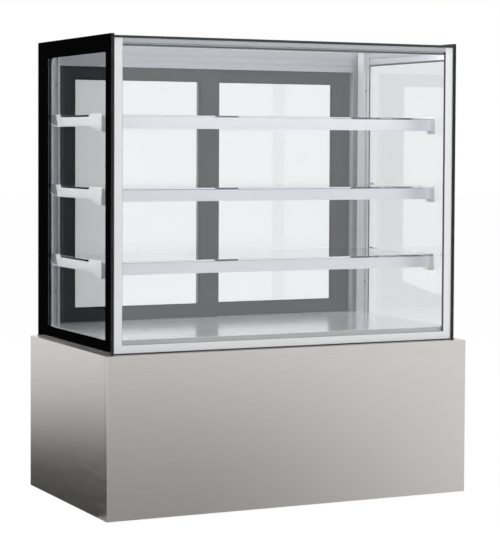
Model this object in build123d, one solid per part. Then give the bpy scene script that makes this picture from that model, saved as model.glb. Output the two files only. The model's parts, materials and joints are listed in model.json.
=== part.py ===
from build123d import *
import math
import os

os.makedirs("parts", exist_ok=True)

# Overall size, in millimetres: X across the front, Y from front to back, Z up from the floor
width = 1200.0
depth = 660.0
height = 1400.0
base_height = 478.0

# Sheet metal casing of the base
sheet = 1.5
fold = 14.0
seam = 1.5
bend_radius = 1.2
panel_gap = 3.0
rear_recess = 6.0
fascia_height = 80.0

# Tube frame and floor pan
tube = 30.0
tube_wall = 2.0
frame_bottom = 20.0
foot_plate = 60.0
foot_plate_thick = 10.0
pan_thick = 2.0
pan_hole_gap = 2.0
bearer_spread = 300.0

# Levelling feet
foot_pad_radius = 23.0
foot_pad_height = 8.0
foot_pad_chamfer = 2.0
foot_stud_radius = 5.0
foot_stud_length = 38.0
foot_hex_radius = 10.0
shaft_clearance = 0.05

# Service grille
louvre_columns = 4
louvre_rows = 14
louvre_length = 200.0
louvre_column_pitch = 250.0
louvre_pitch = 22.0
louvre_slot = 7.0
louvre_first = 52.0
screw_radius = 2.0
screw_head_radius = 4.5
screw_head = 2.4
screw_head_round = 1.2
screw_length = 10.0
screw_clearance = 0.2
screw_edge = 8.5
grille_screws = 4

# Double glazing
glass_inset_side = 24.0
glass_inset_front = 33.0
glass_inset_back = 4.0
pane = 4.0
pane_gap = 6.0
print_thick = 0.4
spacer_width = 12.0
side_print_front = 47.0
side_print_back = 90.0
side_print_bottom = 39.0
side_print_top = 52.0
front_print = 26.0
top_glass_thick = 7.0
side_glass_rise = 5.0
small_gap = 0.3

# Insulated well and deck
deck_top = 519.0
deck_thick = 2.0
well_wall = 30.0
well_floor = 40.0
well_bottom = 300.0
well_setback = 49.0
well_rear_gap = 9.0
well_side_gap = 2.0
deck_slots = 22
deck_slot_length = 30.0
deck_slot_width = 9.0
deck_slot_pitch = 46.0
deck_slot_edge = 6.0

# Sliding doors and their surround
door_thick = 16.0
door_stile = 66.0
door_rail = 52.0
track_lip = 3.0
track_clearance = 0.5
track_depth = 14.0
track_cover = 12.0
sill_cover = 9.0
header_height = 66.0
header_step = 4.0
jamb = 32.0
door_pane = 3.0
door_glass_gap = 6.0
door_groove = 8.0
glide_length = 40.0
glide_inset = 60.0
pull_width = 26.0
pull_height = 140.0
pull_depth = 8.0
pull_corner = 6.5
pull_level = 930.0
pull_inset = 26.4

# Uprights
upright_width = 23.0
upright_depth = 37.0
upright_wall = 3.0
upright_rear_gap = 23.0
upright_groove = 7.0
upright_groove_depth = 5.0
upright_hole_radius = 2.3
upright_screw_rise = 106.0
upright_screw_drop = 123.0

# Shelves, their arms and their light rails
shelf_rise = 221.0
shelf_pitch = 215.0
shelf_glass = 6.0
shelf_chamfer = 0.6
shelf_front = 133.0
arm_plate = 3.0
arm_glass_gap = 1.0
arm_ledge = 13.0
arm_ledge_thick = 6.0
arm_drop = 34.0
arm_rise = 3.0
arm_rear_overhang = 2.0
arm_cap_length = 39.0
arm_cap_slope = 60.0
arm_cap_drop = 50.0
arm_lip_front = 102.0
arm_lip_rear = 73.0
rail_depth = 17.0
rail_height = 34.0
rail_diffuser = 4.0

# Light profile under the top glass
lamp_depth = 23.0
lamp_height = 17.0
lamp_lens = 4.0
lamp_lens_inset = 3.0

# Condensing unit
coil_length = 340.0
coil_depth = 50.0
coil_height = 250.0
coil_rear_gap = 12.0
coil_bend_radius = 12.0
coil_bend_tube = 4.0
coil_rows = 7
shroud_depth = 20.0
shroud_sheet = 2.0
fan_radius = 98.0
fan_tip_gap = 5.0
fan_hub_radius = 20.0
fan_hub_length = 15.0
fan_motor_radius = 35.0
fan_motor_length = 45.0
fan_shaft_radius = 4.0
motor_edge = 2.0
blade_thick = 2.0
blade_chord = 46.0
blade_pitch = 28.0
fan_blades = 5
motor_stand_off = 62.0
bracket_bar = 5.0
compressor_inset = 238.5
compressor_y = 60.0
compressor_radius = 85.0
compressor_height = 165.0
compressor_dome = 32.0
compressor_plate = 4.0
compressor_plate_length = 210.0
compressor_plate_depth = 150.0
mount_height = 19.0
mount_radius = 12.0
mount_inset = 18.0
terminal_width = 50.0
terminal_height = 66.0
terminal_proud = 18.0

# Refrigerant circuit, drain and tray
liquid_pipe_radius = 4.0
suction_pipe_radius = 6.0
pipe_bend = 14.0
drier_radius = 13.0
drier_length = 100.0
drier_shoulder = 6.5
drier_lead = 60.0
hot_rise = 22.0
hot_offset = 28.0
liquid_riser_inset = 20.0
riser_y = 200.0
tray_inset = 178.5
tray_y = -70.0
tray_length = 260.0
tray_depth = 260.0
tray_height = 40.0
tray_wall = 1.5
drain_radius = 10.0
drain_bore = 8.0
drain_end_gap = 14.0

# Evaporator and its fans
evaporator_length = 840.0
evaporator_depth = 90.0
evaporator_height = 110.0
evaporator_y = 15.0
evaporator_rows = 3
fan_plate_y = -100.0
fan_plate_sheet = 1.5
small_fan_spread = 220.0
small_fan_radius = 60.0
small_fan_tip_gap = 4.0
small_hub_radius = 14.0
small_hub_length = 12.0
small_motor_radius = 24.0
small_motor_length = 26.0
small_shaft_radius = 2.5
small_stand_off = 38.0
small_blade_chord = 30.0

# Control fascia
control_level = 421.0
controller_inset = 183.0
controller_length = 71.0
controller_height = 29.0
controller_depth = 36.0
controller_bezel = 4.0
controller_rim = 3.0
display_length = 30.0
display_height = 15.0
display_depth = 1.0
button_length = 8.0
button_height = 6.0
button_depth = 5.0
button_proud = 1.6
button_round = 0.5
button_pitch = 11.0
button_travel = 1.4
button_clearance = 0.3
rocker_offset = 82.0
rocker_pitch = 40.0
rocker_radius = 12.0
rocker_width = 14.0
rocker_valley = 5.5
rocker_tip = 8.5
rocker_tilt = 8.0
rocker_clearance = 0.3
rocker_pin_radius = 1.5
rocker_pivot_depth = 4.5
bezel_rim = 4.0
bezel_thick = 2.0
bezel_depth = 22.0
gland_inset = 133.0
gland_nut_radius = 12.0
gland_bore = 4.5
gland_thread_radius = 8.0
gland_inner = 20.0

# How far a cutting shape runs past the face that it opens
cut = 1.0

# Places worked out from the sizes above
front = -depth / 2
back = depth / 2
side = width / 2
ledge_bottom = base_height - sheet
frame_side = side - sheet
frame_front = front + sheet
grille_back = back - rear_recess - sheet
grille_front = grille_back + sheet
pan_top = frame_bottom + foot_plate_thick + pan_thick
glass_side = side - glass_inset_side
glass_front = front + glass_inset_front
glass_back = back - glass_inset_back
unit_thick = pane + pane_gap + pane
room_side = glass_side - unit_thick
room_front = glass_front + unit_thick
spacer_side = glass_side - pane - pane_gap
top_surface = height - side_glass_rise
ceiling = top_surface - top_glass_thick
slot_width = door_thick + 2 * track_clearance
surround_depth = 3 * track_lip + 2 * slot_width
surround_front = glass_back - surround_depth
jamb_face = room_side - small_gap - jamb
deck_bottom = deck_top - deck_thick
well_side = room_side - well_side_gap
well_front = front + well_setback
well_back = surround_front - well_rear_gap
cavity_floor = well_bottom + well_floor
fascia_bottom = ledge_bottom - fascia_height
header_bottom = top_surface - header_height
upright_back = surround_front - upright_rear_gap
upright_nose = upright_back - upright_depth
upright_side = room_side - arm_plate - arm_glass_gap
upright_screw_levels = (deck_top + upright_screw_rise, ceiling - upright_screw_drop)
shelf_levels = [deck_top + shelf_rise + index * shelf_pitch for index in range(3)]
arm_inner = upright_side - arm_ledge
grille_side = side - fold - sheet - seam
compressor_x = frame_side - tube - compressor_inset
tray_x = tray_inset + tube - frame_side
liquid_riser_x = liquid_riser_inset - evaporator_length / 2
controller_x = grille_side - controller_inset
power_rocker_x = controller_x - rocker_offset
light_rocker_x = power_rocker_x - rocker_pitch
gland_x = gland_inset - grille_side


def block(x, y, z):
    """A box from its low and high places along the three axes."""
    size = [high - low for low, high in (x, y, z)]
    middle = [(high + low) / 2 for low, high in (x, y, z)]
    return Pos(*middle) * Box(*size)


def plaque(x, z, length, tall, y):
    """A box around a middle place, seen from behind, between two depths."""
    return block((x - length / 2, x + length / 2), y, (z - tall / 2, z + tall / 2))


def rod(start, direction, radius, length):
    """A round bar from the middle of its first end."""
    plane = Plane(origin=start, z_dir=direction)
    return plane * Cylinder(radius, length, align=(Align.CENTER, Align.CENTER, Align.MIN))


def mirrored(shape):
    """The same shape on the other side of the middle plane."""
    return mirror(shape, about=Plane.YZ)


def pair(shape):
    """A shape and its mirror image."""
    return [shape, mirrored(shape)]


def save(name, *shapes):
    """Write the solids of one sub-part."""
    solids = [solid for shape in shapes for solid in shape.solids()]
    export_step(Compound(children=solids), f"parts/{name}.step")


def steps_along(count, pitch):
    """Evenly spaced places around zero."""
    return [(index - (count - 1) / 2) * pitch for index in range(count)]


def screw_levels():
    """Heights of the screws down one edge of the grille and of the fascia."""
    low = panel_gap + tube
    high = fascia_bottom - seam - screw_edge
    grille = [low + (high - low) * index / (grille_screws - 1) for index in range(grille_screws)]
    return grille + [fascia_bottom + screw_edge, ledge_bottom - screw_edge]


def screw_places():
    """The two columns of screws in the back of the base."""
    column = grille_side - screw_edge
    return [(x, level) for x in (-column, column) for level in screw_levels()]


def screw_holes(y, length):
    """Clearance holes for the back panels' screws."""
    radius = screw_radius + screw_clearance
    return [rod((x, y, z), (0, 1, 0), radius, length) for x, z in screw_places()]


# Frame, pan and feet


def square_tube(x, y, z, along):
    """A square tube, open at its ends."""
    outer = [x, y, z]
    inner = [(low + tube_wall, high - tube_wall) for low, high in outer]
    inner[along] = (outer[along][0] - cut, outer[along][1] + cut)
    return block(*outer) - block(*inner)


def foot_places():
    """Middles of the four feet."""
    x = frame_side - tube - foot_plate / 2
    y_front = frame_front + tube + foot_plate / 2
    y_back = grille_back - tube - foot_plate / 2
    return {
        "front_left": (-x, y_front),
        "front_right": (x, y_front),
        "rear_left": (-x, y_back),
        "rear_right": (x, y_back),
    }


def base_frame():
    inner_side = frame_side - tube
    rows = [(frame_front, frame_front + tube), (grille_back - tube, grille_back)]
    side_run = (rows[0][1], rows[1][0])
    parts = []
    for x in ((-frame_side, -inner_side), (inner_side, frame_side)):
        for y in rows:
            parts.append(square_tube(x, y, (frame_bottom, ledge_bottom), 2))
        for low in (frame_bottom, well_bottom - tube, ledge_bottom - tube):
            parts.append(square_tube(x, side_run, (low, low + tube), 1))
    for y in rows:
        for low in (frame_bottom, ledge_bottom - tube):
            parts.append(square_tube((-inner_side, inner_side), y, (low, low + tube), 0))
    for middle in steps_along(2, bearer_spread):
        y = (middle - tube / 2, middle + tube / 2)
        parts.append(square_tube((-inner_side, inner_side), y, (well_bottom - tube, well_bottom), 0))
    for x, y in foot_places().values():
        half = foot_plate / 2
        plate_top = frame_bottom + foot_plate_thick
        plate = block((x - half, x + half), (y - half, y + half), (frame_bottom, plate_top))
        radius = foot_stud_radius + shaft_clearance
        hole = rod((x, y, frame_bottom - cut), (0, 0, 1), radius, foot_plate_thick + 2 * cut)
        parts.append(plate - hole)
    holes = screw_holes(grille_back - screw_length, screw_length + cut)
    return [part - holes if part.bounding_box().max.Y > grille_back - sheet else part for part in parts]


def base_pan():
    low = pan_top - pan_thick
    inner_side = frame_side - tube
    pan = block((-inner_side, inner_side), (frame_front + tube, grille_back - tube), (low, pan_top))
    for x, y in foot_places().values():
        pan -= rod((x, y, low - cut), (0, 0, 1), foot_stud_radius + pan_hole_gap, pan_thick + 2 * cut)
    return pan


def levelling_foot(x, y):
    pad = rod((x, y, 0), (0, 0, 1), foot_pad_radius, foot_pad_height)
    pad = chamfer(pad.edges().sort_by(Axis.Z)[-1], foot_pad_chamfer)
    nut_height = frame_bottom - foot_pad_height
    nut = Pos(x, y, foot_pad_height) * extrude(RegularPolygon(foot_hex_radius, 6), nut_height)
    stud = rod((x, y, frame_bottom), (0, 0, 1), foot_stud_radius, foot_stud_length)
    return pad + nut + stud


# Sheet metal casing


def front_panel():
    z = (panel_gap, ledge_bottom)
    panel = block((-side, side), (front, front + sheet), z)
    for x in ((-side, -side + sheet), (side - sheet, side)):
        panel += block(x, (front, front + sheet + fold), z)
    corners = [edge for edge in panel.edges().filter_by(Axis.Z) if edge.center().Y < front + sheet / 2]
    return fillet(corners, bend_radius)


def right_side_panel():
    z = (panel_gap, ledge_bottom)
    start = front + sheet + fold + seam
    panel = block((side - sheet, side), (start, back), z)
    panel += block((side - fold - sheet, side), (back - sheet, back), z)
    corner = [edge for edge in panel.edges().filter_by(Axis.Z) if edge.center().X > side - sheet / 2]
    return fillet([edge for edge in corner if edge.center().Y > back - sheet / 2], bend_radius)


def top_ledge():
    z = (ledge_bottom, base_height)
    strips = [block((-side, side), (front, well_front), z), block((-side, side), (well_back, back), z)]
    strips += pair(block((well_side, side), (well_front, well_back), z))
    return strips


def louvre(x, z):
    """One slot's hood, pressed out of the grille and open downwards."""
    top = z + louvre_slot
    reach = rear_recess - small_gap
    outline = Polyline(
        (grille_back + sheet / 2, top + 2 * sheet),
        (grille_front, top + 2 * sheet),
        (grille_front + reach, top - louvre_slot / 2),
        (grille_front + reach - sheet, top - louvre_slot / 2),
        (grille_front, top),
        (grille_back + sheet / 2, top),
        close=True,
    )
    face = Plane.YZ * make_face(outline)
    return Pos(x - louvre_length / 2, 0, 0) * extrude(face, louvre_length, dir=(1, 0, 0))


def service_grille():
    z = (panel_gap, fascia_bottom - seam)
    plate = block((-grille_side, grille_side), (grille_back, grille_front), z)
    slots = []
    hoods = []
    y = (grille_back - cut, grille_front + cut)
    for x in steps_along(louvre_columns, louvre_column_pitch):
        for row in range(louvre_rows):
            low = louvre_first + row * louvre_pitch
            slots.append(plaque(x, low + louvre_slot / 2, louvre_length, louvre_slot, y))
            hoods.append(louvre(x, low))
    return plate - slots + hoods - screw_holes(grille_back - cut, sheet + 2 * cut)


def control_fascia():
    z = (fascia_bottom, ledge_bottom)
    plate = block((-grille_side, grille_side), (grille_back, grille_front), z)
    y = (grille_back - cut, grille_front + cut)
    plate -= around_control(controller_x, controller_length, controller_height, y)
    for x in (power_rocker_x, light_rocker_x):
        plate -= around_control(x, bezel_body()[0], bezel_body()[1], y)
    plate -= rod((gland_x, y[0], control_level), (0, 1, 0), gland_thread_radius + small_gap, sheet + 2 * cut)
    return plate - screw_holes(y[0], sheet + 2 * cut)


def around_control(x, length, tall, y):
    """The cut-out that a control's body passes through."""
    return plaque(x, control_level, length + 2 * small_gap, tall + 2 * small_gap, y)


def panel_screws():
    screws = []
    for x, z in screw_places():
        head = rod((x, grille_front, z), (0, 1, 0), screw_head_radius, screw_head)
        head = fillet(head.edges().sort_by(Axis.Y)[-1], screw_head_round)
        start = grille_front - screw_length
        screws.append(head + rod((x, start, z), (0, 1, 0), screw_radius, screw_length))
    return screws


# Controls


def bezel_body():
    """Width and height of the part of a rocker's bezel that goes through the fascia."""
    across = rocker_width + 2 * rocker_clearance + 2 * bezel_thick
    tall = 2 * (rocker_radius + rocker_clearance) + 2 * bezel_thick
    return across, tall


def rocker_pivot(x):
    return (x, grille_front - rocker_pivot_depth, control_level)


def switch_bezel(x):
    across, tall = bezel_body()
    rim_face = grille_front + bezel_thick
    body = plaque(x, control_level, across, tall, (grille_front - bezel_depth, grille_front))
    rim_length = across + 2 * bezel_rim
    rim = plaque(x, control_level, rim_length, tall + 2 * bezel_rim, (grille_front, rim_face))
    pivot = rocker_pivot(x)
    floor = pivot[1] - rocker_radius - rocker_clearance
    hollow_length = rocker_width + 2 * rocker_clearance
    hollow_tall = 2 * (rocker_radius + rocker_clearance)
    hollow = plaque(x, control_level, hollow_length, hollow_tall, (floor, rim_face + cut))
    reach = rocker_width / 2 + bezel_thick
    pin = rod((x - reach, pivot[1], pivot[2]), (1, 0, 0), rocker_pin_radius + shaft_clearance, 2 * reach)
    return body + rim - hollow - pin


def rocker(x):
    pivot = rocker_pivot(x)
    drum = rod((x - rocker_width / 2, pivot[1], pivot[2]), (1, 0, 0), rocker_radius, rocker_width)
    reach = 2 * rocker_radius
    slope = (rocker_tip - rocker_valley) / rocker_radius
    outline = Polyline(
        (-reach, -reach),
        (reach, -reach),
        (reach, rocker_valley + slope * reach),
        (0, rocker_valley),
        (-reach, rocker_valley + slope * reach),
        close=True,
    )
    across = Plane(origin=(x - rocker_width / 2, pivot[1], pivot[2]), x_dir=(0, 0, -1), z_dir=(1, 0, 0))
    wedge = extrude(across * make_face(outline), rocker_width)
    body = drum & wedge
    reach = rocker_width / 2 + bezel_thick - small_gap
    body += rod((x - reach, pivot[1], pivot[2]), (1, 0, 0), rocker_pin_radius, 2 * reach)
    return body.rotate(Axis(pivot, (1, 0, 0)), rocker_tilt)


def button_places():
    """Middles of the set, up and down buttons."""
    first = controller_x - controller_length / 2 + controller_rim + button_length / 2
    return {name: first + index * button_pitch for index, name in enumerate(("set", "up", "down"))}


def button_pocket_floor():
    return grille_front + controller_bezel - button_depth


def controller_body():
    x = controller_x
    face = grille_front + controller_bezel
    behind = (grille_front - controller_depth, grille_front)
    body = plaque(x, control_level, controller_length, controller_height, behind)
    rim_length = controller_length + 2 * controller_rim
    rim_height = controller_height + 2 * controller_rim
    body += plaque(x, control_level, rim_length, rim_height, (grille_front, face))
    window_x = x + controller_length / 2 - controller_rim - display_length / 2
    window_y = (face - display_depth, face + cut)
    body -= plaque(window_x, control_level, display_length, display_height, window_y)
    pocket_y = (button_pocket_floor() - button_travel - small_gap, face + cut)
    pocket_length = button_length + 2 * button_clearance
    pocket_height = button_height + 2 * button_clearance
    for middle in button_places().values():
        body -= plaque(middle, control_level, pocket_length, pocket_height, pocket_y)
    return body


def controller_button(x):
    y = (button_pocket_floor(), grille_front + controller_bezel + button_proud)
    button = plaque(x, control_level, button_length, button_height, y)
    return fillet(button.faces().sort_by(Axis.Y)[-1].edges(), button_round)


def cable_gland():
    nut_length = rear_recess - small_gap
    middle = Plane(origin=(gland_x, grille_front, control_level), z_dir=(0, 1, 0))
    nut = middle * extrude(RegularPolygon(gland_nut_radius, 6), nut_length)
    start = (gland_x, grille_front - gland_inner, control_level)
    thread = rod(start, (0, 1, 0), gland_thread_radius, gland_inner)
    return nut + thread - rod(start, (0, 1, 0), gland_bore, gland_inner + nut_length)


# Fans and coils


def fan(centre, radius, hub_radius, hub_length, bore, chord):
    """A fan on the Y axis, its hub behind the centre point."""
    x, y, z = centre
    wheel = rod((x, y, z), (0, 1, 0), hub_radius, hub_length)
    span = radius - hub_radius / 2
    for index in range(fan_blades):
        turn = Rot(0, 360 * index / fan_blades, 0)
        reach = (hub_radius + span) / 2
        blade = Pos(reach, 0, 0) * Rot(blade_pitch, 0, 0) * Box(span, blade_thick, chord)
        wheel += Pos(x, y + hub_length / 2, z) * turn * blade
    wheel = wheel & rod((x, y - chord, z), (0, 1, 0), radius, 2 * chord + hub_length)
    return wheel - rod((x, y - cut, z), (0, 1, 0), bore, hub_length + 2 * cut)


def fan_motor(face, direction, radius, length, shaft_radius, shaft_length):
    """A motor whose shaft starts at the face point and leaves along the direction."""
    x, y, z = face
    body = rod((x, y, z), (0, -direction, 0), radius, length)
    body = fillet(body.edges().filter_by(GeomType.CIRCLE), motor_edge)
    return body + rod((x, y, z), (0, direction, 0), shaft_radius, shaft_length)


def motor_bracket(plate, centre, direction, hole_radius, motor_radius, stand_off):
    """Three legs from the plate round a fan's hole, and the disc that the motor is screwed to."""
    x, z = centre
    disc_start = plate + direction * stand_off
    bracket = rod((x, disc_start, z), (0, direction, 0), motor_radius, bracket_bar)
    leg_ring = hole_radius + bracket_bar
    for index in range(3):
        turn = Rot(0, 90 + 120 * index, 0)
        arm_y = disc_start + direction * bracket_bar / 2
        arm = Pos(leg_ring / 2, 0, 0) * Box(leg_ring + bracket_bar, bracket_bar, bracket_bar)
        leg_length = stand_off + bracket_bar
        leg = Pos(leg_ring, -direction * (leg_length - bracket_bar) / 2, 0)
        leg = leg * Box(bracket_bar, leg_length, bracket_bar)
        bracket += Pos(x, arm_y, z) * turn * (arm + leg)
    return bracket


def coil(x, y, z, rows):
    """A block of fins, with a bend of pipe for each pair of rows at both ends."""
    block_of_fins = block(x, y, z)
    middle_y = (y[0] + y[1]) / 2
    pitch = (z[1] - z[0]) / (rows + 1)
    for row in range(rows):
        level = z[0] + pitch * (row + 1)
        for end, sense in ((x[0], -1), (x[1], 1)):
            plane = Plane(origin=(end, middle_y, level), x_dir=(0, 1, 0), z_dir=(0, 0, 1))
            ring = plane * Torus(coil_bend_radius, coil_bend_tube)
            reach = coil_bend_radius + coil_bend_tube + cut
            outside = (end, end + reach) if sense > 0 else (end - reach, end)
            half = block(outside, (middle_y - reach, middle_y + reach), (level - reach, level + reach))
            block_of_fins += ring & half
    return block_of_fins


# Condensing unit


def condenser_back():
    return grille_back - tube - coil_rear_gap


def condenser_fan_centre():
    y = condenser_back() - coil_depth - shroud_depth
    return (0, y, pan_top + coil_height / 2)


def condenser_coil():
    end = condenser_back()
    z = (pan_top, pan_top + coil_height)
    return coil((-coil_length / 2, coil_length / 2), (end - coil_depth, end), z, coil_rows)


def condenser_shroud():
    x = (-coil_length / 2, coil_length / 2)
    z = (pan_top, pan_top + coil_height)
    _, plate, level = condenser_fan_centre()
    shroud = block(x, (plate, plate + shroud_depth), z)
    inner_x = (x[0] + shroud_sheet, x[1] - shroud_sheet)
    inner_z = (z[0] + shroud_sheet, z[1] - shroud_sheet)
    shroud -= block(inner_x, (plate + shroud_sheet, plate + shroud_depth + cut), inner_z)
    hole = fan_radius + fan_tip_gap
    shroud -= rod((0, plate - cut, level), (0, 1, 0), hole, shroud_sheet + 2 * cut)
    bracket = motor_bracket(plate, (0, level), -1, hole, fan_motor_radius, motor_stand_off)
    return shroud + bracket


def condenser_fan_motor():
    _, plate, level = condenser_fan_centre()
    shaft_start = plate - motor_stand_off + fan_motor_length
    shaft_length = plate + fan_hub_length / 2 - shaft_start
    face = (0, shaft_start, level)
    return fan_motor(face, 1, fan_motor_radius, fan_motor_length, fan_shaft_radius, shaft_length)


def condenser_fan():
    _, plate, level = condenser_fan_centre()
    centre = (0, plate - fan_hub_length / 2, level)
    bore = fan_shaft_radius + shaft_clearance
    return fan(centre, fan_radius, fan_hub_radius, fan_hub_length, bore, blade_chord)


def compressor():
    x, y = compressor_x, compressor_y
    plate_z = pan_top + mount_height
    half = compressor_plate_length / 2
    half_y = compressor_plate_depth / 2
    plate = block((x - half, x + half), (y - half_y, y + half_y), (plate_z, plate_z + compressor_plate))
    can_bottom = plate_z + compressor_plate
    can = rod((x, y, can_bottom), (0, 0, 1), compressor_radius, compressor_height)
    can = fillet(can.edges().filter_by(GeomType.CIRCLE), compressor_dome)
    seat = rod((x, y, can_bottom), (0, 0, 1), compressor_radius - compressor_dome, compressor_dome)
    terminal_low = can_bottom + (compressor_height - terminal_height) / 2
    terminal_x = (x + compressor_radius / 2, x + compressor_radius + terminal_proud)
    terminal_y = (y - terminal_width / 2, y + terminal_width / 2)
    terminal = block(terminal_x, terminal_y, (terminal_low, terminal_low + terminal_height))
    return plate + can + seat + terminal


def compressor_mounts():
    x_reach = compressor_plate_length / 2 - mount_inset
    y_reach = compressor_plate_depth / 2 - mount_inset
    mounts = []
    for x in (-x_reach, x_reach):
        for y in (-y_reach, y_reach):
            start = (compressor_x + x, compressor_y + y, pan_top)
            mounts.append(rod(start, (0, 0, 1), mount_radius, mount_height))
    return mounts


def pipe(points, radius):
    """A pipe along straight runs joined by tangent bends."""
    path = FilletPolyline(*points, radius=pipe_bend)
    start = Plane(origin=path @ 0, z_dir=path % 0)
    return sweep(start * Circle(radius), path=path)


def refrigerant_pipes():
    coil_y = condenser_back() - coil_depth / 2
    can_top = pan_top + mount_height + compressor_plate + compressor_height
    hot_x = compressor_x - hot_offset
    hot_level = can_top + hot_rise
    hot_end = coil_length / 2
    hot = [(hot_x, compressor_y, can_top), (hot_x, compressor_y, hot_level)]
    hot += [(hot_x, coil_y, hot_level), (hot_end, coil_y, hot_level)]
    low = pan_top + drier_radius + small_gap
    drier_end = -coil_length / 2 - drier_lead
    into_drier = rod((-coil_length / 2, coil_y, low), (-1, 0, 0), liquid_pipe_radius, drier_lead)
    drier = rod((drier_end, coil_y, low), (-1, 0, 0), drier_radius, drier_length)
    drier = chamfer(drier.edges().filter_by(GeomType.CIRCLE), drier_shoulder)
    coil_rear = evaporator_y + evaporator_depth / 2
    inlet = cavity_floor + evaporator_height / 4
    riser = liquid_riser_x
    liquid = [(drier_end - drier_length, coil_y, low), (riser, coil_y, low), (riser, riser_y, low)]
    liquid += [(riser, riser_y, inlet), (riser, coil_rear, inlet)]
    outlet = cavity_floor + evaporator_height - evaporator_height / 4
    suction_low = can_top - compressor_height / 2
    can_back = compressor_y + compressor_radius
    suction = [(compressor_x, coil_rear, outlet), (compressor_x, riser_y, outlet)]
    suction += [(compressor_x, riser_y, suction_low), (compressor_x, can_back, suction_low)]
    parts = [pipe(hot, liquid_pipe_radius), into_drier, drier, pipe(liquid, liquid_pipe_radius)]
    return parts + [pipe(suction, suction_pipe_radius)]


def condensate_tray():
    x = (tray_x - tray_length / 2, tray_x + tray_length / 2)
    y = (tray_y - tray_depth / 2, tray_y + tray_depth / 2)
    tray = block(x, y, (pan_top, pan_top + tray_height))
    inner_x = (x[0] + tray_wall, x[1] - tray_wall)
    inner_y = (y[0] + tray_wall, y[1] - tray_wall)
    return tray - block(inner_x, inner_y, (pan_top + tray_wall, pan_top + tray_height + cut))


def drain_hose():
    low = pan_top + tray_wall + drain_end_gap
    length = well_bottom - low
    hose = rod((tray_x, tray_y, low), (0, 0, 1), drain_radius, length)
    return hose - rod((tray_x, tray_y, low - cut), (0, 0, 1), drain_bore, length + 2 * cut)


# Insulated well with the evaporator


def insulated_well():
    x = (-well_side, well_side)
    walls_z = (cavity_floor, deck_bottom)
    floor = block(x, (well_front, well_back), (well_bottom, cavity_floor))
    for place, radius in (
        ((tray_x, tray_y), drain_bore),
        ((liquid_riser_x, riser_y), liquid_pipe_radius + small_gap),
        ((compressor_x, riser_y), suction_pipe_radius + small_gap),
    ):
        floor -= rod((*place, well_bottom - cut), (0, 0, 1), radius, well_floor + 2 * cut)
    walls = [block(x, (well_front, well_front + well_wall), walls_z)]
    walls.append(block(x, (well_back - well_wall, well_back), walls_z))
    side_y = (well_front + well_wall, well_back - well_wall)
    return [floor] + walls + pair(block((well_side - well_wall, well_side), side_y, walls_z))


def evaporator_coil():
    half = evaporator_length / 2
    y = (evaporator_y - evaporator_depth / 2, evaporator_y + evaporator_depth / 2)
    z = (cavity_floor, cavity_floor + evaporator_height)
    return coil((-half, half), y, z, evaporator_rows)


def small_fan_level():
    return (cavity_floor + deck_bottom) / 2


def evaporator_fan_plate():
    inner = well_side - well_wall
    y = (fan_plate_y, fan_plate_y + fan_plate_sheet)
    plate = block((-inner, inner), y, (cavity_floor, deck_bottom))
    hole = small_fan_radius + small_fan_tip_gap
    for x in (-small_fan_spread, small_fan_spread):
        centre = (x, small_fan_level())
        plate -= rod((x, y[0] - cut, centre[1]), (0, 1, 0), hole, fan_plate_sheet + 2 * cut)
        plate += motor_bracket(y[1], centre, 1, hole, small_motor_radius, small_stand_off)
    return plate


def evaporator_fan_motor(x):
    mount_face = fan_plate_y + fan_plate_sheet + small_stand_off
    shaft_start = mount_face - small_motor_length
    shaft_length = shaft_start - fan_plate_y + small_hub_length / 2 - small_gap
    face = (x, shaft_start, small_fan_level())
    return fan_motor(face, -1, small_motor_radius, small_motor_length, small_shaft_radius, shaft_length)


def evaporator_fan(x):
    centre = (x, fan_plate_y - small_hub_length / 2, small_fan_level())
    bore = small_shaft_radius + shaft_clearance
    return fan(centre, small_fan_radius, small_hub_radius, small_hub_length, bore, small_blade_chord)


def deck():
    x = (-room_side + small_gap, room_side - small_gap)
    y = (room_front + small_gap, surround_front)
    plate = block(x, y, (deck_bottom, deck_top))
    first = well_front + well_wall + deck_slot_edge
    last = well_back - well_wall - deck_slot_edge - deck_slot_width
    for middle in steps_along(deck_slots, deck_slot_pitch):
        for low in (first, last):
            slot_x = (middle - deck_slot_length / 2, middle + deck_slot_length / 2)
            plate -= block(slot_x, (low, low + deck_slot_width), (deck_bottom - cut, deck_top + cut))
    return plate


# Glass box


def right_side_glass():
    outer = block((glass_side - pane, glass_side), (glass_front, glass_back), (base_height, height))
    inner = block((room_side, room_side + pane), (room_front, glass_back), (base_height, ceiling))
    return [outer, inner]


def front_glass():
    x = (-spacer_side, spacer_side)
    z = (base_height, ceiling)
    outer = block(x, (glass_front, glass_front + pane), z)
    inner = block(x, (room_front - pane, room_front), z)
    return [outer, inner]


def frame_bars(low, high, widths, thick):
    """Four bars round a rectangle, as (low corner, high corner) of its two directions."""
    left, bottom = low
    right, top = high
    first, last, under, over = widths
    middle = (left + first, right - last)
    bars = [((left, left + first), (bottom, top)), ((right - last, right), (bottom, top))]
    bars += [(middle, (bottom, bottom + under)), (middle, (top - over, top))]
    return [(run, rise, thick) for run, rise in bars]


def side_bars(widths, thick):
    low = (glass_front, base_height)
    high = (glass_back, height)
    return [block(x, y, z) for y, z, x in frame_bars(low, high, widths, thick)]


def front_bars(widths, thick):
    low = (-spacer_side, base_height)
    high = (spacer_side, ceiling)
    return [block(x, y, z) for x, z, y in frame_bars(low, high, widths, thick)]


def glass_spacers():
    widths = (spacer_width,) * 4
    right = side_bars(widths, (spacer_side, glass_side - pane - print_thick))
    front_y = (glass_front + pane + print_thick, room_front - pane)
    return right + [mirrored(bar) for bar in right] + front_bars(widths, front_y)


def side_glass_borders():
    widths = (side_print_front, side_print_back, side_print_bottom, side_print_top)
    right = side_bars(widths, (glass_side - pane - print_thick, glass_side - pane))
    return right + [mirrored(bar) for bar in right]


def front_glass_border():
    thick = (glass_front + pane, glass_front + pane + print_thick)
    bars = front_bars((front_print,) * 4, thick)
    return bars[:3]


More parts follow.
